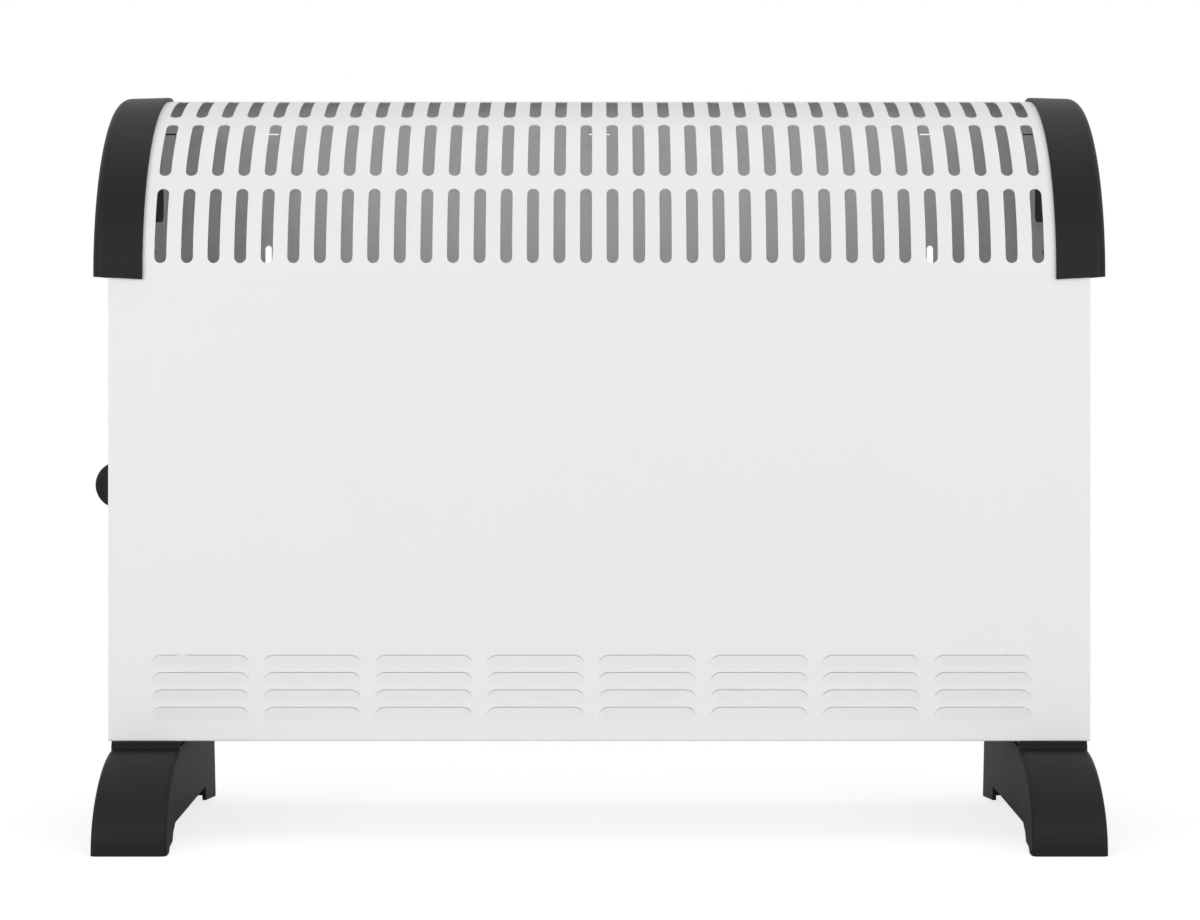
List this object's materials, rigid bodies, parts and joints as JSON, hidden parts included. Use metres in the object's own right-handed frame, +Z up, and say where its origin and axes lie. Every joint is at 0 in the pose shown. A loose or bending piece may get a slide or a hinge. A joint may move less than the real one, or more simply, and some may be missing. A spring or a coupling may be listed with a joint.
{
  "type": "electric convector heater",
  "caption": "Low floor-standing convector heater with a white bent-sheet body, a slotted curved top grille, pressed louvres, black end caps, arched feet and side controls.",
  "frame": {"origin": "on the floor under the middle of the sheet-metal body, halfway between the tips of the feet", "axes": "+Z up; the louvred front faces -Y; +X runs to the heater's right-hand end as seen from the front"},
  "size_m": [0.5979, 0.199, 0.4394],
  "materials": {
    "white_coat": "white powder coat, fine orange peel, semi-gloss",
    "grey_coat": "white powder coat on the side plates, semi-gloss",
    "zinc_steel": "zinc-coated sheet, satin",
    "black_plastic": "black moulded plastic, fine texture",
    "screw_steel": "plated steel, satin",
    "mica": "pressed mica sheet, satin",
    "resistance_wire": "oxidised resistance wire",
    "steatite": "unglazed ceramic",
    "dark_plastic": "dark heat-proof plastic",
    "brass_parts": "turned or stamped brass, satin",
    "knob_plastic": "black moulded plastic, semi-gloss",
    "rocker_plastic": "black moulded plastic, semi-gloss",
    "pale_plastic": "pale nylon",
    "brown_insulation": "silicone sleeve, brown",
    "blue_insulation": "silicone sleeve, blue",
    "green_insulation": "silicone sleeve, green"
  },
  "bodies": {
    "heater": {"front_panel": "white_coat", "rear_panel": "white_coat", "left_side_plate": "grey_coat", "right_side_plate": "grey_coat", "base_plate": "zinc_steel", "left_end_cap": "black_plastic", "right_end_cap": "black_plastic", "left_foot": "black_plastic", "right_foot": "black_plastic", "foot_screws": "screw_steel", "cap_screws": "screw_steel", "rear_screws": "screw_steel", "base_screws": "screw_steel", "heat_shield": "zinc_steel", "element_bracket_left": "zinc_steel", "element_bracket_middle": "zinc_steel", "element_bracket_right": "zinc_steel", "mica_board_front": "mica", "mica_board_rear": "mica", "heating_wire_front": "resistance_wire", "heating_wire_rear": "resistance_wire", "element_terminals": "screw_steel", "ceramic_bushes": "steatite", "thermal_cutout": "dark_plastic", "cutout_rivets": "screw_steel", "thermal_fuse": "steatite", "thermostat": "steatite", "thermostat_nut": "screw_steel", "front_switch_housing": "dark_plastic", "rear_switch_housing": "dark_plastic", "control_tabs": "brass_parts", "terminal_block": "pale_plastic", "terminal_screws": "brass_parts", "cord_gland": "dark_plastic", "leads_live": "brown_insulation", "leads_neutral": "blue_insulation", "lead_earth": "green_insulation", "earth_screw": "screw_steel"},
    "knob": {"thermostat_knob": "knob_plastic", "thermostat_spindle": "brass_parts"},
    "front_rocker_body": {"front_rocker": "rocker_plastic"},
    "rear_rocker_body": {"rear_rocker": "rocker_plastic"}
  },
  "joints": [
    {"name": "thermostat_turn", "type": "hinge", "parent": "heater", "child": "knob", "pos_m": [-0.2859, 0.0075, 0.2025], "axis": [1, 0, 0], "range_deg": [0, 270]},
    {"name": "front_switch_rock", "type": "hinge", "parent": "heater", "child": "front_rocker_body", "pos_m": [-0.2849, -0.0045, 0.146], "axis": [0, 1, 0], "range_deg": [0, 20]},
    {"name": "rear_switch_rock", "type": "hinge", "parent": "heater", "child": "rear_rocker_body", "pos_m": [-0.2849, 0.0195, 0.146], "axis": [0, 1, 0], "range_deg": [0, 20]}
  ]
}
